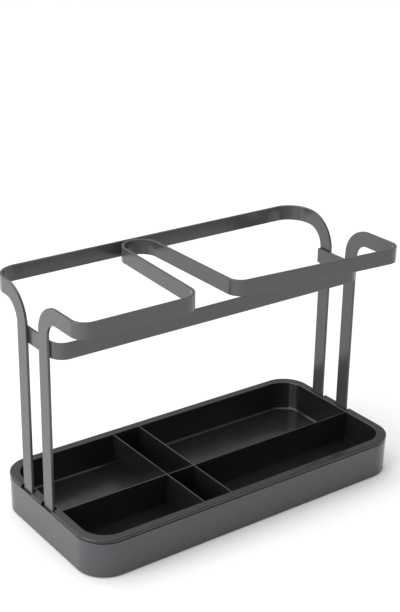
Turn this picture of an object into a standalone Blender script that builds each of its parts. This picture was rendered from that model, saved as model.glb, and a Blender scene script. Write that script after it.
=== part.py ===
"""Sink caddy: a rack of formed flat steel strip that stands in a two-part base.

Metres, +Z up, the front is -Y. The origin is on the table under the middle of the base.
A steel pan on four rubber feet carries a moulded drip tray, and the rack drops into sockets in the pan.
"""
import bpy
import bmesh
from math import cos, sin, tan, pi
from mathutils import Vector

# Base pan, pressed from sheet
BASE_LENGTH = 0.240
BASE_WIDTH = 0.115
BASE_CORNER = 0.0192
BASE_SHEET = 0.0008
BASE_DRAFT = 0.0003
SKIRT_BOTTOM = 0.0005
SKIRT_HEIGHT = 0.0230
FLOOR_RISE = 0.0018
SKIRT_EDGE = 0.0003

# Rubber feet under the pan
PAD_DIAMETER = 0.013
PAD_HEIGHT = 0.0020
PAD_EDGE = 0.0004
PAD_INSET = 0.017

# Clearance between pieces that touch, and how far a cutter runs past what it cuts
GAP = 0.0003
OVERRUN = 0.0020

# Drip tray, moulded in one piece
FLANGE_THICKNESS = 0.0022
FLANGE_EDGE = 0.0005
OPENING_INSET = 0.0057
OPENING_CORNER = 0.0160
OPENING_EDGE = 0.0004
TUB_WALL = 0.0010
TUB_DRAFT = 0.0004
TUB_FLOOR = 0.0014
TUB_STAND = 0.0005
TUB_FILLET = 0.0018
DIVIDER_TOP = 0.0010
DIVIDER_FOOT = 0.0016
DIVIDER_DROP = 0.0002
LONG_DIVIDER_Y = -0.0117
CROSS_DIVIDER_XS = (-0.0373, -0.0166)
NOTCH_CLEARANCE = 0.0012

# Rack, formed from one size of flat strip
STRIP_WIDTH = 0.0102
STRIP_THICKNESS = 0.0018
STRIP_EDGE = 0.0003
RACK_HEIGHT = 0.1593
FRONT_UPRIGHT_Y = -0.0030
REAR_UPRIGHT_Y = 0.0222
FRONT_SHOULDER_RADIUS = 0.0098
REAR_SHOULDER_RADIUS = 0.0130
FOOT_CHAMFER = 0.0020
BAND_TOP = 0.1356
BAND_FRONT_Y = -0.0150
BAND_RADIUS = 0.0094

# Middle line of the front strip in plan. It leaves the left end, turns back round a slot with a
# half-circle end, and goes on to the right end. Pairs run from front to rear, or from left to right.
END_FRONT_RADIUS = 0.0091
LEFT_FRONT_RUN_Y = -0.0435
SLOT_LEFT_XS = (-0.0364, -0.0307)
SLOT_RIGHT_X = -0.0078
SLOT_MOUTH_RADII = (0.0121, 0.0086)
SLOT_REAR_RADIUS = 0.0116
RIGHT_FRONT_RUN_YS = (-0.0397, -0.0496)

# Rear strip in plan: one straight run along the back
END_REAR_RADIUS = 0.0150
REAR_RUN_BACK_Y = 0.0590

# Sockets, folded clips that hold the feet of the rack in the pan
SOCKET_SHEET = 0.0008
SOCKET_TOP = 0.0200

# Facets of round stretches
CORNER_STEPS = 10
SHOULDER_STEPS = 10
PAD_STEPS = 28

# Levels and planes that follow from the sizes above
PAN_TOP = SKIRT_BOTTOM + SKIRT_HEIGHT
PAN_UNDERSIDE = SKIRT_BOTTOM + FLOOR_RISE
PAN_FLOOR = PAN_UNDERSIDE + BASE_SHEET
TRAY_TOP = PAN_TOP + GAP + FLANGE_THICKNESS
TRAY_UNDERSIDE = PAN_FLOOR + TUB_STAND
TRAY_FLOOR = TRAY_UNDERSIDE + TUB_FLOOR
RACK_FOOT = PAN_FLOOR + GAP
STRIP_OUTER_X = BASE_LENGTH / 2 - BASE_DRAFT - BASE_SHEET - GAP
STRIP_MIDDLE_X = STRIP_OUTER_X - STRIP_THICKNESS / 2
STRIP_INNER_X = STRIP_OUTER_X - STRIP_THICKNESS
BAND_END_X = STRIP_INNER_X - GAP - STRIP_THICKNESS / 2
REAR_RUN_Y = REAR_RUN_BACK_Y - STRIP_THICKNESS / 2
SLOT_REAR_Y = REAR_RUN_Y - STRIP_THICKNESS - GAP


def clear_scene():
    for obj in list(bpy.data.objects):
        bpy.data.objects.remove(obj, do_unlink=True)


def make_material(name, colour, roughness, metallic):
    material = bpy.data.materials.new(name)
    material.use_nodes = True
    shader = material.node_tree.nodes["Principled BSDF"]
    shader.inputs["Base Color"].default_value = (*colour, 1.0)
    shader.inputs["Roughness"].default_value = roughness
    shader.inputs["Metallic"].default_value = metallic
    return material


def make_carrier(name, place):
    """An empty on the line along which a loose piece lifts off."""
    carrier = bpy.data.objects.new(name, None)
    carrier.location = place
    bpy.context.collection.objects.link(carrier)
    return carrier


def place_mesh(name, bm, material, carrier=None, smooth_angle=pi / 6):
    """Turn a bmesh in world places into an object, hung on its carrier if it has one."""
    if carrier is not None:
        bmesh.ops.translate(bm, verts=bm.verts, vec=-carrier.location)
    bmesh.ops.recalc_face_normals(bm, faces=bm.faces)
    if bm.calc_volume(signed=True) < 0:
        bmesh.ops.reverse_faces(bm, faces=bm.faces)
    mesh = bpy.data.meshes.new(name)
    bm.to_mesh(mesh)
    bm.free()
    mesh.shade_smooth()
    mesh.set_sharp_from_angle(angle=smooth_angle)
    obj = bpy.data.objects.new(name, mesh)
    bpy.context.collection.objects.link(obj)
    if carrier is not None:
        obj.parent = carrier
    if material is not None:
        mesh.materials.append(material)
    return obj


def hide_helper(obj):
    obj.hide_render = True
    obj.display_type = "WIRE"


def combine(target, helper, operation):
    """Join or cut the target with a helper solid."""
    modifier = target.modifiers.new(helper.name, "BOOLEAN")
    modifier.object = helper
    modifier.operation = operation
    modifier.solver = "EXACT"
    hide_helper(helper)


def rounded_outline(half_length, half_width, radius, z):
    """Points round a rectangle with round corners, counter-clockwise from the right side."""
    points = []
    for quarter, (side_x, side_y) in enumerate(((1, 1), (-1, 1), (-1, -1), (1, -1))):
        for step in range(CORNER_STEPS + 1):
            angle = (quarter + step / CORNER_STEPS) * pi / 2
            x = side_x * (half_length - radius) + radius * cos(angle)
            y = side_y * (half_width - radius) + radius * sin(angle)
            points.append(Vector((x, y, z)))
    return points


def loft(outlines):
    """Skin a row of outlines with equal counts, and close both ends flat."""
    bm = bmesh.new()
    rings = [[bm.verts.new(point) for point in outline] for outline in outlines]
    for lower, upper in zip(rings[:-1], rings[1:]):
        for here in range(len(lower)):
            after = (here + 1) % len(lower)
            bm.faces.new((lower[here], lower[after], upper[after], upper[here]))
    bm.faces.new(list(reversed(rings[0])))
    bm.faces.new(rings[-1])
    return bm


def tray_outline(inset, z, radius=BASE_CORNER):
    """An outline that lies a given inset inside the top edge of the base."""
    return rounded_outline(BASE_LENGTH / 2 - inset, BASE_WIDTH / 2 - inset, radius, z)


def build_base_pan(material):
    """The pressed pan: a drafted skirt, and a floor raised above the skirt's lower edge."""
    foot_inset = BASE_DRAFT + BASE_SHEET
    outlines = (
        tray_outline(foot_inset, PAN_UNDERSIDE, BASE_CORNER - foot_inset),
        tray_outline(foot_inset, SKIRT_BOTTOM, BASE_CORNER - foot_inset),
        tray_outline(BASE_DRAFT + SKIRT_EDGE, SKIRT_BOTTOM, BASE_CORNER - BASE_DRAFT - SKIRT_EDGE),
        tray_outline(BASE_DRAFT, SKIRT_BOTTOM + SKIRT_EDGE, BASE_CORNER - BASE_DRAFT),
        tray_outline(0, PAN_TOP - SKIRT_EDGE, BASE_CORNER),
        tray_outline(SKIRT_EDGE, PAN_TOP, BASE_CORNER - SKIRT_EDGE),
        tray_outline(BASE_SHEET, PAN_TOP, BASE_CORNER - BASE_SHEET),
        tray_outline(foot_inset, PAN_FLOOR, BASE_CORNER - foot_inset),
    )
    return place_mesh("base_pan", loft(outlines), material)


def build_feet(material):
    """Four rubber pads, one near each corner, under the raised floor of the pan."""
    along = BASE_LENGTH / 2 - PAD_INSET
    across = BASE_WIDTH / 2 - PAD_INSET
    for end, side_x in (("left", -1), ("right", 1)):
        for side, side_y in (("front", -1), ("rear", 1)):
            outlines = []
            for shrink, z in ((PAD_EDGE, 0), (0, PAD_EDGE), (0, PAD_HEIGHT)):
                reach = PAD_DIAMETER / 2 - shrink
                angles = [2 * pi * step / PAD_STEPS for step in range(PAD_STEPS)]
                outlines.append([
                    Vector((side_x * along + reach * cos(angle), side_y * across + reach * sin(angle), z))
                    for angle in angles
                ])
            place_mesh(f"foot_{side}_{end}", loft(outlines), material)


def divider(name, start, end):
    """A drafted wall between two places on the tray floor, given in plan."""
    start = Vector(start)
    end = Vector(end)
    across = (end - start).normalized().orthogonal()
    low = TRAY_FLOOR - TUB_FLOOR / 2
    high = TRAY_TOP - DIVIDER_DROP
    sections = []
    for place in (start, end):
        section = []
        for half, z in (
            (DIVIDER_FOOT / 2, low),
            (DIVIDER_TOP / 2, high),
            (-DIVIDER_TOP / 2, high),
            (-DIVIDER_FOOT / 2, low),
        ):
            spot = place + across * half
            section.append(Vector((spot.x, spot.y, z)))
        sections.append(section)
    return place_mesh(name, loft(sections), None)


def box_between(low, high):
    """A plain block between two opposite corners."""
    corners = ((low[0], low[1]), (high[0], low[1]), (high[0], high[1]), (low[0], high[1]))
    return loft([[Vector((x, y, z)) for x, y in corners] for z in (low[2], high[2])])


def build_drip_tray(material, carrier):
    """The moulded tray: a flat flange, a drafted tub, three dividers and notches for the uprights."""
    wall_inset = OPENING_INSET - TUB_WALL
    wall_corner = OPENING_CORNER + TUB_WALL
    foot_inset = OPENING_INSET + TUB_DRAFT
    outlines = (
        tray_outline(wall_inset + TUB_DRAFT, TRAY_UNDERSIDE, wall_corner - TUB_DRAFT),
        tray_outline(wall_inset, PAN_TOP + GAP, wall_corner),
        tray_outline(0, PAN_TOP + GAP, BASE_CORNER),
        tray_outline(0, TRAY_TOP - FLANGE_EDGE, BASE_CORNER),
        tray_outline(FLANGE_EDGE, TRAY_TOP, BASE_CORNER - FLANGE_EDGE),
        tray_outline(OPENING_INSET - OPENING_EDGE, TRAY_TOP, OPENING_CORNER + OPENING_EDGE),
        tray_outline(OPENING_INSET, TRAY_TOP - OPENING_EDGE, OPENING_CORNER),
        tray_outline(foot_inset, TRAY_FLOOR + TUB_FILLET, OPENING_CORNER - TUB_DRAFT),
        tray_outline(foot_inset + TUB_FILLET, TRAY_FLOOR, OPENING_CORNER - TUB_DRAFT - TUB_FILLET),
    )
    tray = place_mesh("drip_tray", loft(outlines), material)

    reach_x = BASE_LENGTH / 2 - OPENING_INSET + TUB_WALL / 2
    reach_y = BASE_WIDTH / 2 - OPENING_INSET + TUB_WALL / 2
    combine(tray, divider("long_divider", (-reach_x, LONG_DIVIDER_Y), (reach_x, LONG_DIVIDER_Y)), "UNION")
    for count, x in enumerate(CROSS_DIVIDER_XS, 1):
        combine(tray, divider(f"cross_divider_{count}", (x, -reach_y), (x, reach_y)), "UNION")

    notch_half = STRIP_WIDTH / 2 + NOTCH_CLEARANCE
    notch_inner = STRIP_INNER_X - NOTCH_CLEARANCE
    notch_outer = BASE_LENGTH / 2 + OVERRUN
    for end, side_x in (("left", -1), ("right", 1)):
        for side, y in (("front", FRONT_UPRIGHT_Y), ("rear", REAR_UPRIGHT_Y)):
            near_x, far_x = sorted((side_x * notch_inner, side_x * notch_outer))
            block = box_between(
                (near_x, y - notch_half, PAN_TOP - OVERRUN),
                (far_x, y + notch_half, TRAY_TOP + OVERRUN),
            )
            combine(tray, place_mesh(f"notch_{side}_{end}", block, None), "DIFFERENCE")
    tray.parent = carrier
    return tray


def strip_section(place, width_way, face_way, width=STRIP_WIDTH):
    """The strip's cross-section at one place: a flat bar with slightly eased edges."""
    half_width = width / 2
    half_face = STRIP_THICKNESS / 2
    corners = []
    for along, out in ((1, 1), (-1, 1), (-1, -1), (1, -1)):
        eased = [
            (along * (half_width - STRIP_EDGE), out * half_face),
            (along * half_width, out * (half_face - STRIP_EDGE)),
        ]
        if along == out:
            eased.reverse()
        corners.extend(eased)
    return [place + width_way * across + face_way * out for across, out in corners]


def bend_points(before, corner, after, radius, steps):
    """Places and headings round the bend of a path that turns at a corner between two other places."""
    first = (corner - before).normalized()
    second = (after - corner).normalized()
    turn = first.angle(second)
    side = (second - first * first.dot(second)).normalized()
    centre = corner - first * (radius * tan(turn / 2)) + side * radius
    stations = []
    for step in range(steps + 1):
        angle = turn * step / steps
        heading = first * cos(angle) + side * sin(angle)
        place = centre - side * (radius * cos(angle)) + first * (radius * sin(angle))
        stations.append((place, heading))
    return stations


UP = Vector((0, 0, 1))
RIGHT = Vector((1, 0, 0))
BACK = Vector((0, 1, 0))


def build_strip(name, upright_y, shoulder, corners, radii, material, carrier):
    """One strip of the rack: up from its left foot, along its corners in plan, and down to its right foot."""
    run_z = RACK_HEIGHT - STRIP_WIDTH / 2
    path = [Vector((-STRIP_MIDDLE_X, upright_y, RACK_FOOT)), Vector((-STRIP_MIDDLE_X, upright_y, run_z))]
    path += [Vector((x, y, run_z)) for x, y in corners]
    path += [Vector((STRIP_MIDDLE_X, upright_y, run_z)), Vector((STRIP_MIDDLE_X, upright_y, RACK_FOOT))]
    left_face = (path[2] - path[1]).normalized().cross(UP)
    right_face = (path[-2] - path[-3]).normalized().cross(UP)

    sections = []
    feet = [(RACK_FOOT, STRIP_WIDTH - 2 * FOOT_CHAMFER), (RACK_FOOT + FOOT_CHAMFER, STRIP_WIDTH)]
    for z, width in feet:
        place = Vector((-STRIP_MIDDLE_X, upright_y, z))
        sections.append(strip_section(place, left_face.cross(UP), left_face, width))
    for place, heading in bend_points(*path[:3], shoulder, SHOULDER_STEPS):
        sections.append(strip_section(place, left_face.cross(heading), left_face))
    for corner, radius in enumerate(radii, 2):
        for place, heading in bend_points(*path[corner - 1:corner + 2], radius, CORNER_STEPS):
            sections.append(strip_section(place, UP, heading.cross(UP)))
    for place, heading in bend_points(*path[-3:], shoulder, SHOULDER_STEPS):
        sections.append(strip_section(place, right_face.cross(heading), right_face))
    for z, width in reversed(feet):
        place = Vector((STRIP_MIDDLE_X, upright_y, z))
        sections.append(strip_section(place, right_face.cross(-UP), right_face, width))
    return place_mesh(name, loft(sections), material, carrier)


def build_front_strip(material, carrier):
    """The front strip, with a slot between its left mouth and its right mouth."""
    corners = (
        (-STRIP_MIDDLE_X, LEFT_FRONT_RUN_Y),
        (SLOT_LEFT_XS[0], LEFT_FRONT_RUN_Y),
        (SLOT_LEFT_XS[1], SLOT_REAR_Y),
        (SLOT_RIGHT_X, SLOT_REAR_Y),
        (SLOT_RIGHT_X, RIGHT_FRONT_RUN_YS[0]),
        (STRIP_MIDDLE_X, RIGHT_FRONT_RUN_YS[1]),
    )
    left_mouth, right_mouth = SLOT_MOUTH_RADII
    radii = (END_FRONT_RADIUS, left_mouth, SLOT_REAR_RADIUS, SLOT_REAR_RADIUS, right_mouth, END_FRONT_RADIUS)
    shoulder = FRONT_SHOULDER_RADIUS + STRIP_WIDTH / 2
    return build_strip("front_strip", FRONT_UPRIGHT_Y, shoulder, corners, radii, material, carrier)


def build_rear_strip(material, carrier):
    """The rear strip, which closes both mouths and the slot at the back."""
    corners = ((-STRIP_MIDDLE_X, REAR_RUN_Y), (STRIP_MIDDLE_X, REAR_RUN_Y))
    radii = (END_REAR_RADIUS, END_REAR_RADIUS)
    shoulder = REAR_SHOULDER_RADIUS + STRIP_WIDTH / 2
    return build_strip("rear_strip", REAR_UPRIGHT_Y, shoulder, corners, radii, material, carrier)


def build_front_band(material, carrier):
    """The lower band: a front run with a short return inside the uprights at each end."""
    z = BAND_TOP - STRIP_WIDTH / 2
    end_y = REAR_UPRIGHT_Y + STRIP_WIDTH / 2
    front_y = BAND_FRONT_Y + STRIP_THICKNESS / 2
    path = (
        Vector((-BAND_END_X, end_y, z)),
        Vector((-BAND_END_X, front_y, z)),
        Vector((BAND_END_X, front_y, z)),
        Vector((BAND_END_X, end_y, z)),
    )
    bend = BAND_RADIUS - STRIP_THICKNESS / 2
    stations = [(path[0], -BACK)]
    stations += bend_points(*path[0:3], bend, CORNER_STEPS)
    stations += bend_points(*path[1:4], bend, CORNER_STEPS)
    stations.append((path[-1], BACK))
    sections = [strip_section(place, UP, heading.cross(UP)) for place, heading in stations]
    return place_mesh("front_band", loft(sections), material, carrier)


def build_sockets(material):
    """A folded clip round each foot of the rack, welded inside the end walls of the pan."""
    inner_half = STRIP_WIDTH / 2 + GAP
    outer_half = inner_half + SOCKET_SHEET
    tip_x = STRIP_OUTER_X
    back_x = STRIP_INNER_X - GAP
    rear_face_x = back_x - SOCKET_SHEET
    profile = (
        (tip_x, -outer_half),
        (tip_x, -inner_half),
        (back_x, -inner_half),
        (back_x, inner_half),
        (tip_x, inner_half),
        (tip_x, outer_half),
        (rear_face_x, outer_half),
        (rear_face_x, -outer_half),
    )
    for end, side_x in (("left", -1), ("right", 1)):
        for side, y in (("front", FRONT_UPRIGHT_Y), ("rear", REAR_UPRIGHT_Y)):
            outlines = [
                [Vector((side_x * px, y + py, z)) for px, py in profile]
                for z in (RACK_FOOT, SOCKET_TOP)
            ]
            place_mesh(f"socket_{side}_{end}", loft(outlines), material)


def build_caddy():
    clear_scene()
    pan_paint = make_material("pan_paint", (0.075, 0.077, 0.082), 0.42, 0.6)
    strip_paint = make_material("strip_paint", (0.060, 0.062, 0.066), 0.40, 0.6)
    tray_plastic = make_material("tray_plastic", (0.030, 0.031, 0.033), 0.35, 0.0)
    foot_rubber = make_material("foot_rubber", (0.015, 0.015, 0.015), 0.85, 0.0)
    clip_steel = make_material("clip_steel", (0.075, 0.077, 0.082), 0.45, 0.6)

    tray_carrier = make_carrier("tray_lift_line", (0, 0, 0))
    rack_middle_y = (FRONT_UPRIGHT_Y + REAR_UPRIGHT_Y) / 2
    rack_carrier = make_carrier("rack_lift_line", (0, rack_middle_y, RACK_FOOT))

    build_base_pan(pan_paint)
    build_feet(foot_rubber)
    build_sockets(clip_steel)
    build_drip_tray(tray_plastic, tray_carrier)
    build_front_strip(strip_paint, rack_carrier)
    build_rear_strip(strip_paint, rack_carrier)
    build_front_band(strip_paint, rack_carrier)


build_caddy()
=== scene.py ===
# %% [markdown]
# A sink caddy, dressed for its portrait
#
# The caddy is a rack of flat steel strip that stands in a shallow base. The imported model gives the
# size and place of each piece, and this notebook models the surfaces that the eye meets: eased edges,
# smooth bends, powder coat, moulded plastic and rubber. Each piece is shaped the way a hand would shape
# it in Blender, from a plane or a cylinder, with extrude, spin, inset and bevel.

from math import cos, degrees, pi, radians, sin, tan

import bmesh
import bpy
from mathutils import Matrix, Vector


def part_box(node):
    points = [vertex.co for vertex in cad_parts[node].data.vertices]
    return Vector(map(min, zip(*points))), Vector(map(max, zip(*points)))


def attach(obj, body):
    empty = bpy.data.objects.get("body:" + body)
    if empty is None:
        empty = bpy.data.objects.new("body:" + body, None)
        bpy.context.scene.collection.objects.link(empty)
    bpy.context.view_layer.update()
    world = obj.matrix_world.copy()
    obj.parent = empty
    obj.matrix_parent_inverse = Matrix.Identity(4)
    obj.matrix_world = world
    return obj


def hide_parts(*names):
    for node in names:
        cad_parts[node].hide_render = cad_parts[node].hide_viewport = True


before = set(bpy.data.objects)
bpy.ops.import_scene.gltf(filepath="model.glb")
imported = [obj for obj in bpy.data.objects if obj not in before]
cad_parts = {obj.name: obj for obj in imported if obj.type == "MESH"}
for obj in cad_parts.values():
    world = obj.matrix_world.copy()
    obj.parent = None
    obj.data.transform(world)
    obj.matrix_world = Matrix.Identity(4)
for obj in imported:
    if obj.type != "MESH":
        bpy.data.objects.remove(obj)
bpy.context.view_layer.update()
print(len(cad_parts), "packed nodes,", len(bpy.context.selected_objects), "objects arrive selected")

# %% [markdown]
# Sizes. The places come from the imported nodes, so that a new pack moves the looks along. What a box
# can't tell, such as a sheet's thickness or a bend's radius, is named in millimetres where it is needed.

# %% Sizes of the real caddy
MM = 0.001

pan_low, pan_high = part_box("base_pan")
tray_low, tray_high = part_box("drip_tray")
front_low, front_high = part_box("front_strip")
rear_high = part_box("rear_strip")[1]
band_low, band_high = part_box("front_band")

STRIP_WIDTH = band_high.z - band_low.z
STRIP_THICKNESS = 1.8 * MM
FRONT_UPRIGHT_Y = -3.0 * MM
REAR_UPRIGHT_Y = 22.2 * MM

print("strip is", round(STRIP_WIDTH / MM, 2), "mm wide")
print("uprights at y", round(FRONT_UPRIGHT_Y / MM, 1), "and", round(REAR_UPRIGHT_Y / MM, 1), "mm")

# %% [markdown]
# Camera. The photograph was taken from the front left, a little above the rack, with a long lens. A
# camera could be pointed with a Track To constraint, but that can't tilt it, and the photograph is
# tilted by a degree. So the three directions of the camera are worked out and written in its matrix.
# The place and the focal length were fitted to the edges of the base and the rack.

# %% Camera
IMAGE_HEIGHT_PIXELS = 612
FOCAL_PIXELS = 1270.5
SENSOR_HEIGHT_MM = 36.0
CAMERA_AZIMUTH = -36.304
CAMERA_ELEVATION = 22.577
CAMERA_ROLL = 0.962
CAMERA_DISTANCE = 801.1 * MM
CAMERA_TARGET = Vector((-0.07 * MM, 7.0 * MM, 125.9 * MM))
NEAREST = 50 * MM
FARTHEST = 100
UP = Vector((0, 0, 1))


def add_camera():
    """A camera that looks at the target from an azimuth, an elevation and a distance."""
    around = radians(CAMERA_AZIMUTH)
    above = radians(CAMERA_ELEVATION)
    tilt = radians(CAMERA_ROLL)
    backward = Vector((sin(around) * cos(above), -cos(around) * cos(above), sin(above)))
    level = UP.cross(backward).normalized()
    upward = backward.cross(level)
    right = level * cos(tilt) + upward * sin(tilt)
    top = upward * cos(tilt) - level * sin(tilt)
    place = CAMERA_TARGET + backward * CAMERA_DISTANCE
    bpy.ops.object.camera_add(location=place)
    camera = bpy.context.object
    camera.name = "portrait_camera"
    camera.matrix_world = Matrix((
        (right.x, top.x, backward.x, place.x),
        (right.y, top.y, backward.y, place.y),
        (right.z, top.z, backward.z, place.z),
        (0, 0, 0, 1),
    ))
    camera.data.sensor_fit = "VERTICAL"
    camera.data.sensor_height = SENSOR_HEIGHT_MM
    camera.data.lens = FOCAL_PIXELS / IMAGE_HEIGHT_PIXELS * SENSOR_HEIGHT_MM
    camera.data.clip_start = NEAREST
    camera.data.clip_end = FARTHEST
    return camera


bpy.context.scene.camera = add_camera()
print("lens", round(bpy.context.scene.camera.data.lens, 1), "mm on a", SENSOR_HEIGHT_MM, "mm high sensor")

# %% [markdown]
# Surface character. Powder coat, moulded plastic and rubber all have a fine grain and a slow, cloudy
# variation. The nodes for it could be repeated in each material. A node group holds them once instead,
# and each material gives it its own sizes. It reads Object coordinates, so the grain has a real size
# and doesn't stretch along a strip, as it would on an unwrapped one.

# %% The grain group
SCALE_SOCKETS = ("Grain Scale", "Cloud Scale", "Speck Scale")
GRAIN_DETAIL = 3.0
GRAIN_ROUGHNESS = 0.55
CLOUD_DETAIL = 2.0
SPECK_RIM = 0.22
SPECK_CORE = 0.10


def make_grain_group():
    """Puts out a fine grain for bump, a cloud for colour and roughness, and sparse specks."""
    group = bpy.data.node_groups.new("surface_grain", "ShaderNodeTree")
    for name in SCALE_SOCKETS:
        group.interface.new_socket(name, in_out="INPUT", socket_type="NodeSocketFloat")
    for name in ("Grain", "Cloud", "Specks"):
        group.interface.new_socket(name, in_out="OUTPUT", socket_type="NodeSocketFloat")
    nodes = group.nodes
    link = group.links.new
    given = nodes.new("NodeGroupInput")
    out = nodes.new("NodeGroupOutput")
    place = nodes.new("ShaderNodeTexCoord")

    grain = nodes.new("ShaderNodeTexNoise")
    grain.inputs["Detail"].default_value = GRAIN_DETAIL
    grain.inputs["Roughness"].default_value = GRAIN_ROUGHNESS
    link(place.outputs["Object"], grain.inputs["Vector"])
    link(given.outputs["Grain Scale"], grain.inputs["Scale"])
    link(grain.outputs["Fac"], out.inputs["Grain"])

    cloud = nodes.new("ShaderNodeTexNoise")
    cloud.inputs["Detail"].default_value = CLOUD_DETAIL
    link(place.outputs["Object"], cloud.inputs["Vector"])
    link(given.outputs["Cloud Scale"], cloud.inputs["Scale"])
    link(cloud.outputs["Fac"], out.inputs["Cloud"])

    specks = nodes.new("ShaderNodeTexVoronoi")
    link(place.outputs["Object"], specks.inputs["Vector"])
    link(given.outputs["Speck Scale"], specks.inputs["Scale"])
    near = nodes.new("ShaderNodeMapRange")
    near.inputs["From Min"].default_value = SPECK_RIM
    near.inputs["From Max"].default_value = SPECK_CORE
    link(specks.outputs["Distance"], near.inputs["Value"])
    link(near.outputs["Result"], out.inputs["Specks"])
    return group


grain_group = make_grain_group()
print("grain group takes", SCALE_SOCKETS)

# %% [markdown]
# A finish is a Principled shader fed by that group. A single colour and roughness would do from far
# off, but a real coat is never that even. So the base colour drifts between two near tones and carries
# flecks of a third, the roughness drifts between two values, and the grain becomes a bump a few
# hundredths of a millimetre deep.

# %% How a finish is made
COAT_ROUGHNESS = 0.12
CLOUD_LOW = 0.3
CLOUD_HIGH = 0.7


def make_finish(name, tones, roughness, specular, coat, relief, scales):
    """A finish from three near tones, two near roughnesses and a grain with its own depth and sizes."""
    material = bpy.data.materials.new(name)
    material.use_nodes = True
    nodes = material.node_tree.nodes
    link = material.node_tree.links.new
    shader = nodes["Principled BSDF"]
    shader.inputs["Specular IOR Level"].default_value = specular
    shader.inputs["Coat Weight"].default_value = coat
    shader.inputs["Coat Roughness"].default_value = COAT_ROUGHNESS

    grain = nodes.new("ShaderNodeGroup")
    grain.node_tree = grain_group
    for socket, value in zip(SCALE_SOCKETS, scales):
        grain.inputs[socket].default_value = value

    drift = nodes.new("ShaderNodeMix")
    drift.data_type = "RGBA"
    drift.inputs["A"].default_value = (*tones[0], 1)
    drift.inputs["B"].default_value = (*tones[1], 1)
    link(grain.outputs["Cloud"], drift.inputs["Factor"])

    flecks = nodes.new("ShaderNodeMix")
    flecks.data_type = "RGBA"
    flecks.inputs["B"].default_value = (*tones[2], 1)
    link(drift.outputs["Result"], flecks.inputs["A"])
    link(grain.outputs["Specks"], flecks.inputs["Factor"])
    link(flecks.outputs["Result"], shader.inputs["Base Color"])

    sheen = nodes.new("ShaderNodeMapRange")
    sheen.inputs["From Min"].default_value = CLOUD_LOW
    sheen.inputs["From Max"].default_value = CLOUD_HIGH
    sheen.inputs["To Min"].default_value = roughness[0]
    sheen.inputs["To Max"].default_value = roughness[1]
    link(grain.outputs["Cloud"], sheen.inputs["Value"])
    link(sheen.outputs["Result"], shader.inputs["Roughness"])

    bump = nodes.new("ShaderNodeBump")
    bump.inputs["Strength"].default_value = relief[0]
    bump.inputs["Distance"].default_value = relief[1]
    link(grain.outputs["Grain"], bump.inputs["Height"])
    link(bump.outputs["Normal"], shader.inputs["Normal"])
    return material


# %% [markdown]
# The four finishes. The strip and the pan have the same satin powder coat, a little lighter on the
# strip. The tray is a smoother, nearly black moulding, and the pads are matt rubber.

# %% Finishes
strip_coat = make_finish(
    "strip_coat",
    tones=((0.047, 0.050, 0.054), (0.054, 0.057, 0.061), (0.075, 0.078, 0.083)),
    roughness=(0.20, 0.26), specular=0.6, coat=0.1,
    relief=(0.25, 0.02 * MM), scales=(1600.0, 22.0, 1400.0),
)
pan_coat = make_finish(
    "pan_coat",
    tones=((0.041, 0.043, 0.047), (0.046, 0.048, 0.052), (0.065, 0.067, 0.072)),
    roughness=(0.24, 0.30), specular=0.6, coat=0.1,
    relief=(0.25, 0.02 * MM), scales=(1600.0, 18.0, 1400.0),
)
tray_moulding = make_finish(
    "tray_moulding",
    tones=((0.009, 0.010, 0.011), (0.012, 0.013, 0.014), (0.015, 0.016, 0.017)),
    roughness=(0.18, 0.24), specular=0.6, coat=0.0,
    relief=(0.12, 0.015 * MM), scales=(2600.0, 25.0, 900.0),
)
pad_rubber = make_finish(
    "pad_rubber",
    tones=((0.012, 0.012, 0.012), (0.020, 0.020, 0.020), (0.026, 0.026, 0.026)),
    roughness=(0.75, 0.88), specular=0.4, coat=0.0,
    relief=(0.4, 0.05 * MM), scales=(1400.0, 60.0, 900.0),
)
print("finishes", [finish.name for finish in (strip_coat, pan_coat, tray_moulding, pad_rubber)])

# %% [markdown]
# Helpers for modelling by hand. An operator works on whatever is selected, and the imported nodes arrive
# selected, so each helper first clears the selection. A piece starts as a flat face of its real size,
# at its real place, and grows while it is open for editing.

# %% Starting and opening a piece
def only(piece):
    """Select one piece, and nothing else."""
    bpy.ops.object.select_all(action="DESELECT")
    piece.select_set(True)
    bpy.context.view_layer.objects.active = piece


def start_plane(name, size_x, size_y, place):
    """A flat rectangle at its real size and place, as the start of a piece."""
    bpy.ops.object.select_all(action="DESELECT")
    bpy.ops.mesh.primitive_plane_add(size=1, location=place)
    piece = bpy.context.object
    piece.name = name
    piece.scale = (size_x, size_y, 1)
    bpy.ops.object.transform_apply(location=True, rotation=True, scale=True)
    return piece


def enter(piece):
    """Open a piece for editing, with none of it selected."""
    only(piece)
    bpy.ops.object.mode_set(mode="EDIT")
    bpy.ops.mesh.select_mode(type="FACE")
    bpy.ops.mesh.select_all(action="DESELECT")


def enter_all(piece):
    """Open a piece for editing, with all of it selected."""
    enter(piece)
    bpy.ops.mesh.select_all(action="SELECT")


def leave():
    """Close the piece that is open."""
    bpy.ops.object.mode_set(mode="OBJECT")


# %% [markdown]
# Three moves make most of the shapes: extrude a face straight on, spin it round a bend, and scale it
# where a form tapers. The face that a move leaves at the end stays selected for the next move, so the
# moves follow each other as the bends of a real strip do.

# %% Growing a piece
BEND_STEPS = 20
print("a bend has", BEND_STEPS, "steps")


def run(x=0, y=0, z=0):
    """Extrude the selected face straight on."""
    bpy.ops.mesh.extrude_region_move(TRANSFORM_OT_translate={"value": (x, y, z)})


def bend(centre, axis, turn):
    """Spin the selected face round a bend. Without a window, spin turns against the right-hand rule."""
    bpy.ops.mesh.spin(steps=BEND_STEPS, angle=-radians(turn), center=centre, axis=axis)


def selected_middle(piece):
    """The middle of the selected vertices."""
    mesh = bmesh.from_edit_mesh(piece.data)
    chosen = [vertex.co for vertex in mesh.verts if vertex.select]
    return sum(chosen, Vector()) / len(chosen)


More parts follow.
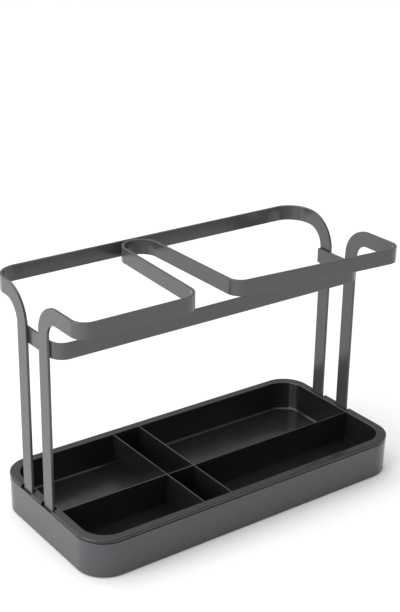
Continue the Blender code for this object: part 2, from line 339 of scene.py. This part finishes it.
def stretch(piece, x=1, y=1, z=1):
    """Scale the selection about its own middle."""
    bpy.ops.transform.resize(value=(x, y, z), center_override=selected_middle(piece))


# %% [markdown]
# A grown piece needs three more steps. Its normals are turned outwards, because spin can leave a piece
# inside out. Its sharp edges get a small round, because no real edge is perfectly sharp, and the round
# is what catches the light. Its shading then runs smoothly over the bends.

# %% Closing, rounding and shading a piece
MERGE_DISTANCE = 0.001 * MM
SHARP_FROM = 45
SMOOTH_UP_TO = 35
EDGE_SEGMENTS = 3
print("edges that turn by more than", SHARP_FROM, "degrees are rounded in", EDGE_SEGMENTS, "segments")


def tidy_normals(piece):
    """Merge doubles, then turn every face outwards."""
    enter_all(piece)
    bpy.ops.mesh.remove_doubles(threshold=MERGE_DISTANCE)
    bpy.ops.mesh.normals_make_consistent(inside=False)
    leave()
    mesh = bmesh.new()
    mesh.from_mesh(piece.data)
    if mesh.calc_volume(signed=True) < 0:
        bmesh.ops.reverse_faces(mesh, faces=mesh.faces)
        mesh.to_mesh(piece.data)
    mesh.free()


def round_edges(piece, width, segments=EDGE_SEGMENTS):
    """Round every edge that turns by more than the limit."""
    only(piece)
    rounding = piece.modifiers.new("round_edges", "BEVEL")
    rounding.limit_method = "ANGLE"
    rounding.angle_limit = radians(SHARP_FROM)
    rounding.width = width
    rounding.segments = segments
    bpy.ops.object.modifier_apply(modifier=rounding.name)


def shade_softly(piece):
    """Shade round stretches smooth, and let the large flat faces keep their own direction."""
    only(piece)
    bpy.ops.object.shade_smooth_by_angle(angle=radians(SMOOTH_UP_TO))
    weighting = piece.modifiers.new("flat_faces_lead", "WEIGHTED_NORMAL")
    weighting.keep_sharp = True
    bpy.ops.object.modifier_apply(modifier=weighting.name)


# %% [markdown]
# A finished piece takes its material and is tied to the imported model: the body that it rides on and
# the nodes that it stands for. Then it says how it came out.

# %% Finishing a piece
def report(piece):
    """Say what was made: its size, and whether it is closed."""
    mesh = bmesh.new()
    mesh.from_mesh(piece.data)
    open_edges = sum(not edge.is_manifold for edge in mesh.edges)
    volume = mesh.calc_volume(signed=True)
    mesh.free()
    size = [round(value / MM, 1) for value in piece.dimensions]
    print(piece.name, "is", size, "mm,", len(piece.data.polygons), "faces,", open_edges, "open edges,",
          round(volume / MM ** 3), "cubic mm")


def finish_piece(piece, material, body, slot, *nodes):
    """Give a finished piece its material, its body and the nodes that it stands for; the slot is not
    used.
    """
    piece.data.materials.clear()
    piece.data.materials.append(material)
    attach(piece, body)
    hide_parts(*nodes)
    report(piece)


# %% [markdown]
# The two strips of the rack. On the real caddy each is one flat blank. Its shoulders are cut in the
# flat, so the strip turns there in its own plane, and its other corners are bent round a former. A sweep
# along a curve would twist the section at the shoulders, so the strip is grown from its foot instead: a
# small face is extruded along the straights and spun round each bend's own axis.

# %% How a strip is grown
STRIP_EDGE = 0.3 * MM
FOOT_CHAMFER = 2.0 * MM

end_x = front_high.x - STRIP_THICKNESS / 2
run_z = front_high.z - STRIP_WIDTH / 2


def turn_at(before, corner, after, radius):
    """Where a bend starts, its centre, where it ends, its axis and how many degrees it turns."""
    first = (corner - before).normalized()
    second = (after - corner).normalized()
    turn = first.angle(second)
    setback = radius * tan(turn / 2)
    inward = (second - first * first.dot(second)).normalized()
    start = corner - first * setback
    axis = first.cross(second).normalized()
    return start, start + inward * radius, corner + second * setback, axis, degrees(turn)


def form_strip(name, upright_y, shoulder, corners, radii):
    """One strip, from its left foot, along its corners in plan, to its right foot."""
    path = [Vector((-end_x, upright_y, front_low.z)), Vector((-end_x, upright_y, run_z))]
    path += [Vector((x, y, run_z)) for x, y in corners]
    path += [Vector((end_x, upright_y, run_z)), Vector((end_x, upright_y, front_low.z))]
    shoulder_bend = shoulder + STRIP_WIDTH / 2
    narrow = STRIP_WIDTH - 2 * FOOT_CHAMFER

    piece = start_plane(name, STRIP_THICKNESS, narrow, path[0])
    enter_all(piece)
    run(z=FOOT_CHAMFER)
    stretch(piece, y=STRIP_WIDTH / narrow)
    here = path[0] + Vector((0, 0, FOOT_CHAMFER))
    for corner, radius in enumerate((shoulder_bend, *radii, shoulder_bend), 1):
        start, centre, end, axis, turn = turn_at(*path[corner - 1:corner + 2], radius)
        run(*(start - here))
        bend(centre, axis, turn)
        here = end
    run(z=front_low.z + FOOT_CHAMFER - here.z)
    run(z=-FOOT_CHAMFER)
    stretch(piece, y=narrow / STRIP_WIDTH)
    leave()
    tidy_normals(piece)
    round_edges(piece, STRIP_EDGE)
    shade_softly(piece)
    return piece


print("strips reach x", round(end_x / MM, 1), "and run at z", round(run_z / MM, 1), "mm")

# %% [markdown]
# The front strip comes up at the left end, runs along the front, goes back along the slot and round its
# rear in a half-circle, comes forward again, and runs on to the right end. It could be cut together
# from three strips, but the real one has no joint there, so it is grown in one go from eight bends.

# %% The front strip
FRONT_SHOULDER_RADIUS = 9.8 * MM
END_FRONT_RADIUS = 9.1 * MM
LEFT_FRONT_RUN_Y = -43.5 * MM
SLOT_LEFT_XS = (-36.4 * MM, -30.7 * MM)
SLOT_RIGHT_X = -7.8 * MM
SLOT_REAR_Y = 56.0 * MM
SLOT_MOUTH_RADII = (12.1 * MM, 8.6 * MM)
SLOT_REAR_RADIUS = 11.6 * MM
RIGHT_FRONT_RUN_YS = (-39.7 * MM, -49.6 * MM)

front_corners = (
    (-end_x, LEFT_FRONT_RUN_Y),
    (SLOT_LEFT_XS[0], LEFT_FRONT_RUN_Y),
    (SLOT_LEFT_XS[1], SLOT_REAR_Y),
    (SLOT_RIGHT_X, SLOT_REAR_Y),
    (SLOT_RIGHT_X, RIGHT_FRONT_RUN_YS[0]),
    (end_x, RIGHT_FRONT_RUN_YS[1]),
)
front_radii = (END_FRONT_RADIUS, SLOT_MOUTH_RADII[0], SLOT_REAR_RADIUS,
               SLOT_REAR_RADIUS, SLOT_MOUTH_RADII[1], END_FRONT_RADIUS)
front_form = form_strip("front_form", FRONT_UPRIGHT_Y, FRONT_SHOULDER_RADIUS, front_corners, front_radii)
finish_piece(front_form, strip_coat, "rack", "strip_paint", "front_strip")

# %% [markdown]
# The rear strip is the plain one: up, along the back, and down. It could be a scaled copy of another
# piece, but its shoulders and its end bends are wider than those of the front strip, and scaling would
# spoil its thickness. The same function grows it, from two corners of its own.

# %% The rear strip
REAR_SHOULDER_RADIUS = 13.0 * MM
END_REAR_RADIUS = 15.0 * MM

rear_run_y = rear_high.y - STRIP_THICKNESS / 2
rear_corners = ((-end_x, rear_run_y), (end_x, rear_run_y))
rear_form = form_strip("rear_form", REAR_UPRIGHT_Y, REAR_SHOULDER_RADIUS, rear_corners,
                       (END_REAR_RADIUS, END_REAR_RADIUS))
finish_piece(rear_form, strip_coat, "rack", "strip_paint", "rear_strip")

# %% [markdown]
# The lower band is the same strip, bent to a wide U and welded inside the uprights on the real caddy. A
# curve with a profile could make it too, since it lies flat in plan. Extrude and spin make it here like
# its neighbours, so its edges match theirs. It starts as an upright face at the rear of the left end,
# so the plane is turned on its side before it grows.

# %% The band
BAND_BEND_RADIUS = 9.4 * MM
QUARTER_TURN = 90


def form_band():
    """The band, from the rear of the left end round the front to the rear of the right end."""
    band_end_x = band_high.x - STRIP_THICKNESS / 2
    front_y = band_low.y + STRIP_THICKNESS / 2
    middle_z = (band_low.z + band_high.z) / 2
    radius = BAND_BEND_RADIUS - STRIP_THICKNESS / 2
    straight = band_high.y - front_y - radius

    piece = start_plane("band_form", STRIP_THICKNESS, STRIP_WIDTH, (0, 0, 0))
    piece.rotation_euler = (pi / 2, 0, 0)
    piece.location = (-band_end_x, band_high.y, middle_z)
    bpy.ops.object.transform_apply(location=True, rotation=True, scale=True)
    enter_all(piece)
    run(y=-straight)
    bend((-band_end_x + radius, front_y + radius, middle_z), UP, QUARTER_TURN)
    run(x=2 * (band_end_x - radius))
    bend((band_end_x - radius, front_y + radius, middle_z), UP, QUARTER_TURN)
    run(y=straight)
    leave()
    tidy_normals(piece)
    round_edges(piece, STRIP_EDGE)
    shade_softly(piece)
    return piece


band_form = form_band()
finish_piece(band_form, strip_coat, "rack", "strip_paint", "front_band")

# %% [markdown]
# The pan and the tray have the same plan, a rectangle with round corners. It could be a curve that is
# filled, but a plane with its four corners bevelled is quicker and stays a mesh. Later steps pick a
# face again by where it looks and how high it lies, as a click would.

# %% Rounded slabs, and picking their faces
CORNER_STEPS = 20
BASE_CORNER = 19.2 * MM
STRAIGHT_ENOUGH = 0.99
SAME_LEVEL = 0.01 * MM
print("corners of the base have a radius of", round(BASE_CORNER / MM, 1), "mm, in", CORNER_STEPS, "steps")


def start_slab(name, length, width, corner, z):
    """A rounded rectangle, open for editing, as the start of a pressed or moulded piece."""
    piece = start_plane(name, length, width, (0, 0, z))
    enter_all(piece)
    bpy.ops.mesh.bevel(offset=corner, segments=CORNER_STEPS, affect="VERTICES")
    bpy.ops.mesh.select_all(action="SELECT")
    return piece


def pick_faces(piece, direction, level=None):
    """Select the faces that look up (1) or down (-1), and lie at a level if one is given."""
    mesh = bmesh.from_edit_mesh(piece.data)
    for face in mesh.faces:
        looks_that_way = face.normal.z * direction > STRAIGHT_ENOUGH
        at_level = level is None or abs(face.calc_center_median().z - level) < SAME_LEVEL
        face.select_set(looks_that_way and at_level)
    bmesh.update_edit_mesh(piece.data)


# %% [markdown]
# The pan is pressed from sheet on the real caddy. A shell with a Solidify modifier would come close,
# but inset and extrude give the skirt and the floor their own sizes. It grows from the outline of its
# lower edge: up with a little draft, in by the sheet's thickness, and down again to the floor. The
# underside is then raised inside the skirt, which leaves room for the pads.

# %% The pan
PAN_SHEET = 0.8 * MM
PAN_DRAFT = 0.3 * MM
PAN_FLOOR_RISE = 1.8 * MM
PAN_EDGE = 0.3 * MM


def press_pan():
    """The pan, with its skirt, its raised floor and rounded edges."""
    length = pan_high.x - pan_low.x
    width = pan_high.y - pan_low.y
    foot_length = length - 2 * PAN_DRAFT
    foot_width = width - 2 * PAN_DRAFT
    floor_z = pan_low.z + PAN_FLOOR_RISE + PAN_SHEET
    piece = start_slab("pan_shell", foot_length, foot_width, BASE_CORNER, pan_low.z)
    run(z=pan_high.z - pan_low.z)
    stretch(piece, x=length / foot_length, y=width / foot_width)
    bpy.ops.mesh.inset(thickness=PAN_SHEET)
    run(z=floor_z - pan_high.z)
    inner_length = length - 2 * PAN_SHEET
    inner_width = width - 2 * PAN_SHEET
    stretch(piece, x=1 - 2 * PAN_DRAFT / inner_length, y=1 - 2 * PAN_DRAFT / inner_width)
    leave()
    tidy_normals(piece)
    enter(piece)
    pick_faces(piece, -1, pan_low.z)
    bpy.ops.mesh.inset(thickness=PAN_SHEET)
    run(z=PAN_FLOOR_RISE)
    leave()
    tidy_normals(piece)
    round_edges(piece, PAN_EDGE)
    shade_softly(piece)
    return piece


pan_shell = press_pan()
finish_piece(pan_shell, pan_coat, "base", "pan_paint", "base_pan")

# %% [markdown]
# The drip tray is one moulding: a flange that lies on the pan, and a tub below it. The outside of both
# grows from one outline and stays solid for now, because a hollow is easier to cut than to wrap round
# later. A small step under the flange makes the dark seam that runs round the base.

# %% The outside of the tray
FLANGE_THICKNESS = 2.2 * MM
SEAM_HEIGHT = 0.4 * MM
SEAM_DEPTH = 0.5 * MM
OPENING_INSET = 5.7 * MM
TUB_WALL = 1.0 * MM
TUB_FLOOR = 1.4 * MM
TUB_DRAFT = 0.4 * MM

tray_length = tray_high.x - tray_low.x
tray_width = tray_high.y - tray_low.y
flange_z = tray_high.z - FLANGE_THICKNESS
tub_floor_z = tray_low.z + TUB_FLOOR


def mould_outside():
    """The flange with its seam step, and the tub under it, still solid."""
    seam_length = tray_length - 2 * SEAM_DEPTH
    seam_width = tray_width - 2 * SEAM_DEPTH
    piece = start_slab("tray_body", seam_length, seam_width, BASE_CORNER - SEAM_DEPTH, flange_z)
    run(z=SEAM_HEIGHT)
    run()
    stretch(piece, x=tray_length / seam_length, y=tray_width / seam_width)
    run(z=FLANGE_THICKNESS - SEAM_HEIGHT)
    leave()
    tidy_normals(piece)

    tub_length = tray_length - 2 * (OPENING_INSET - TUB_WALL)
    tub_width = tray_width - 2 * (OPENING_INSET - TUB_WALL)
    enter(piece)
    pick_faces(piece, -1, flange_z)
    bpy.ops.mesh.inset(thickness=(seam_length - tub_length) / 2)
    run(z=tray_low.z - flange_z)
    stretch(piece, x=1 - 2 * TUB_DRAFT / tub_length, y=1 - 2 * TUB_DRAFT / tub_width)
    leave()
    tidy_normals(piece)
    return piece


tray_body = mould_outside()
report(tray_body)

# %% [markdown]
# A core cuts the hollow, as the core of a mould does. The tub could be extruded inwards instead, but
# the core can have its own corner radius and a fillet round its foot. The rim is rounded before the
# walls are joined, because a bevel laid across a join of two solids would pinch there.

# %% The hollow of the tray
OPENING_CORNER = 16.0 * MM
TUB_FILLET = 1.8 * MM
FILLET_SEGMENTS = 5
OVERRUN = 2.0 * MM
RIM_EDGE = 0.7 * MM
UNDERSIDE_EDGE = 0.15 * MM

opening_length = tray_length - 2 * OPENING_INSET
opening_width = tray_width - 2 * OPENING_INSET


def shape_core():
    """The form that leaves the hollow: drafted sides, and a fillet round its foot."""
    piece = start_slab("core", opening_length, opening_width, OPENING_CORNER, tray_high.z + OVERRUN)
    run(z=tub_floor_z - tray_high.z - OVERRUN)
    stretch(piece, x=1 - 2 * TUB_DRAFT / opening_length, y=1 - 2 * TUB_DRAFT / opening_width)
    leave()
    tidy_normals(piece)
    enter(piece)
    pick_faces(piece, -1, tub_floor_z)
    bpy.ops.mesh.bevel(offset=TUB_FILLET, segments=FILLET_SEGMENTS, affect="EDGES")
    leave()
    return piece


def combine(target, helper, operation):
    """Join or cut a piece with a helper solid, which is then gone."""
    only(target)
    modifier = target.modifiers.new("with_helper", "BOOLEAN")
    modifier.object = helper
    modifier.operation = operation
    modifier.solver = "EXACT"
    bpy.ops.object.modifier_apply(modifier=modifier.name)
    bpy.data.objects.remove(helper)


def round_edges_at(piece, level, width):
    """Round only the sharp edges that lie at one level."""
    enter(piece)
    bpy.ops.mesh.select_mode(type="EDGE")
    mesh = bmesh.from_edit_mesh(piece.data)
    for edge in mesh.edges:
        at_level = all(abs(vertex.co.z - level) < SAME_LEVEL for vertex in edge.verts)
        edge.select_set(at_level and edge.calc_face_angle(0) > radians(SHARP_FROM))
    bmesh.update_edit_mesh(piece.data)
    bpy.ops.mesh.bevel(offset=width, segments=EDGE_SEGMENTS, affect="EDGES")
    leave()


combine(tray_body, shape_core(), "DIFFERENCE")
round_edges_at(tray_body, tray_high.z, RIM_EDGE)
round_edges_at(tray_body, flange_z + SEAM_HEIGHT, UNDERSIDE_EDGE)
report(tray_body)

# %% [markdown]
# One long wall and two cross walls part the bays, and they belong to the moulding. They are drafted:
# wider at their foot than at their top, or the moulding wouldn't leave its tool. Each could be a plain
# box, but its rounded top is what catches the light as a thin pale line. Each one reaches into the
# tub's wall and floor, so that the join is sound.

# %% The walls between the bays
DIVIDER_TOP = 1.0 * MM
DIVIDER_FOOT = 1.6 * MM
DIVIDER_DROP = 0.3 * MM
WALL_EDGE = 0.3 * MM
LONG_DIVIDER_Y = -11.7 * MM
CROSS_DIVIDER_XS = (-37.3 * MM, -16.6 * MM)


def drafted_wall(name, along_x, length, middle_x, middle_y):
    """A wall along x, or else along y, with a wide foot and a narrow, rounded top."""
    foot_x = length if along_x else DIVIDER_FOOT
    foot_y = DIVIDER_FOOT if along_x else length
    piece = start_plane(name, foot_x, foot_y, (middle_x, middle_y, tub_floor_z - TUB_FLOOR / 2))
    enter_all(piece)
    run(z=tray_high.z - DIVIDER_DROP - tub_floor_z + TUB_FLOOR / 2)
    narrowing = DIVIDER_TOP / DIVIDER_FOOT
    stretch(piece, x=1 if along_x else narrowing, y=narrowing if along_x else 1)
    bpy.ops.mesh.bevel(offset=WALL_EDGE, segments=EDGE_SEGMENTS, affect="EDGES")
    leave()
    tidy_normals(piece)
    return piece


combine(tray_body, drafted_wall("long_wall", True, opening_length + TUB_WALL, 0, LONG_DIVIDER_Y), "UNION")
for wall_x in CROSS_DIVIDER_XS:
    combine(tray_body, drafted_wall("cross_wall", False, opening_width + TUB_WALL, wall_x, 0), "UNION")
report(tray_body)

# %% [markdown]
# Last come the notches through which the uprights pass. They are open to the outside and a little
# wider than the strip, so that the tray lifts out and never rubs. A block cuts each one, which keeps
# the flange whole until the end.

# %% The notches, and the finished tray
NOTCH_CLEARANCE = 1.2 * MM

notch_inner = front_high.x - STRIP_THICKNESS - NOTCH_CLEARANCE
notch_outer = tray_length / 2 + OVERRUN


def notch_block(side, y):
    """The block that cuts one notch, at the left (-1) or the right (1) end."""
    middle_x = side * (notch_inner + notch_outer) / 2
    piece = start_plane("notch", notch_outer - notch_inner, STRIP_WIDTH + 2 * NOTCH_CLEARANCE,
                        (middle_x, y, flange_z - OVERRUN))
    enter_all(piece)
    run(z=FLANGE_THICKNESS + 2 * OVERRUN)
    leave()
    tidy_normals(piece)
    return piece


for end_side in (-1, 1):
    for upright_y in (FRONT_UPRIGHT_Y, REAR_UPRIGHT_Y):
        combine(tray_body, notch_block(end_side, upright_y), "DIFFERENCE")
tidy_normals(tray_body)
shade_softly(tray_body)
finish_piece(tray_body, tray_moulding, "tray", "tray_plastic", "drip_tray")

# %% [markdown]
# The feet are rubber pads. A plain cylinder would pass for one from above, but such pads have a shallow
# hollow below and stand on their rim, so that is cut in by inset and extrude. One pad is modelled, and
# the other three are copies, each with its own mesh.

# %% The feet
PAD_SIDES = 48
PAD_RIM = 1.6 * MM
PAD_HOLLOW = 0.4 * MM
PAD_EDGE = 0.3 * MM
PAD_EDGE_SEGMENTS = 2
CORNERS = ("front_left", "front_right", "rear_left", "rear_right")


def mould_pad(corner_name):
    """One pad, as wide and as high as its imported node."""
    low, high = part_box(f"foot_{corner_name}")
    size = high - low
    bpy.ops.object.select_all(action="DESELECT")
    bpy.ops.mesh.primitive_cylinder_add(
        vertices=PAD_SIDES, radius=size.x / 2, depth=size.z, location=(low + high) / 2)
    piece = bpy.context.object
    piece.name = f"pad_{corner_name}"
    bpy.ops.object.transform_apply(location=True, rotation=True, scale=True)
    enter(piece)
    pick_faces(piece, -1)
    bpy.ops.mesh.inset(thickness=PAD_RIM)
    run(z=PAD_HOLLOW)
    bpy.ops.mesh.inset(thickness=PAD_RIM)
    run(z=-PAD_HOLLOW)
    leave()
    tidy_normals(piece)
    round_edges(piece, PAD_EDGE, PAD_EDGE_SEGMENTS)
    shade_softly(piece)
    return piece


def copy_pad(pad, from_corner, to_corner):
    """A copy of a pad with its own mesh, moved to another corner."""
    only(pad)
    bpy.ops.object.duplicate(linked=False)
    piece = bpy.context.object
    piece.name = f"pad_{to_corner}"
    piece.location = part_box(f"foot_{to_corner}")[0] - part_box(f"foot_{from_corner}")[0]
    bpy.ops.object.transform_apply(location=True, rotation=True, scale=True)
    return piece


first_pad = mould_pad(CORNERS[0])
pads = [first_pad] + [copy_pad(first_pad, CORNERS[0], corner_name) for corner_name in CORNERS[1:]]
for pad, corner_name in zip(pads, CORNERS):
    finish_piece(pad, pad_rubber, "base", "foot_rubber", f"foot_{corner_name}")

# %% [markdown]
# The sockets are folded clips out of sight below the tray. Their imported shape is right, so they keep
# it and only take the coat of the pan.

# %% The sockets
for corner_name in CORNERS:
    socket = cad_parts[f"socket_{corner_name}"]
    socket.data.materials.clear()
    socket.data.materials.append(pan_coat)
print("sockets keep their packed shape")

# %% [markdown]
# The stage is a plain sheet of white paper. A sheet that curves up behind the caddy is the usual
# backdrop, but the camera looks down, so a flat sheet will do if it is so large that its far edge lies
# above the picture. The rims of the pads touch it at zero.

# %% The floor
FLOOR_SIZE = 60.0
PAPER_WHITE = (0.92, 0.92, 0.925, 1)
PAPER_ROUGHNESS = 0.95

bpy.ops.object.select_all(action="DESELECT")
bpy.ops.mesh.primitive_plane_add(size=FLOOR_SIZE, location=(0, 0, 0))
floor = bpy.context.object
floor.name = "studio_floor"

paper = bpy.data.materials.new("studio_paper")
paper.use_nodes = True
paper_shader = paper.node_tree.nodes["Principled BSDF"]
paper_shader.inputs["Base Color"].default_value = PAPER_WHITE
paper_shader.inputs["Roughness"].default_value = PAPER_ROUGHNESS
floor.data.materials.append(paper)
print("floor is", FLOOR_SIZE, "m square")

# %% [markdown]
# Light. The photograph is lit softly from above and behind, and the faces that look left are the
# brightest. Large panels all round could light it, but they would leave the paper uneven. A very wide
# sun lights the paper evenly instead, and a low panel on the left lifts the left faces and hardly
# reaches the paper.

# %% Lights
SUN_STRENGTH = 2.15
SUN_ANGLE = 85
SUN_PLACE = (0, 0, 2)
SUN_HEADING = Vector((0.12, -0.38, -1.0))
PANEL_SIZE = 1.2
PANEL_POWER = 20
PANEL_PLACE = Vector((-1.5, -0.1, 0.45))
PANEL_AIM = Vector((0, 0, 0.08))


def add_light(name, kind, place, heading, strength):
    """A light of one kind that looks along its heading."""
    bpy.ops.object.light_add(type=kind, location=place)
    light = bpy.context.object
    light.name = name
    light.data.energy = strength
    light.rotation_euler = heading.to_track_quat("-Z", "Y").to_euler()
    return light


sun = add_light("wide_sun", "SUN", SUN_PLACE, SUN_HEADING, SUN_STRENGTH)
sun.data.angle = radians(SUN_ANGLE)
panel = add_light("left_panel", "AREA", PANEL_PLACE, PANEL_AIM - PANEL_PLACE, PANEL_POWER)
panel.data.size = PANEL_SIZE
print("lights", sun.name, SUN_STRENGTH, panel.name, PANEL_POWER)

# %% [markdown]
# A pale world fills the shadows. The view is set to plain sRGB, because the usual one darkens white
# paper to a light grey, and in the photograph it is white.

# %% The world and the view
WORLD_WHITE = (1, 1, 1, 1)
WORLD_STRENGTH = 0.45

world = bpy.data.worlds.new("studio_world")
bpy.context.scene.world = world
world.use_nodes = True
background = world.node_tree.nodes["Background"]
background.inputs["Color"].default_value = WORLD_WHITE
background.inputs["Strength"].default_value = WORLD_STRENGTH
bpy.context.scene.view_settings.view_transform = "Standard"
print("world strength", WORLD_STRENGTH)
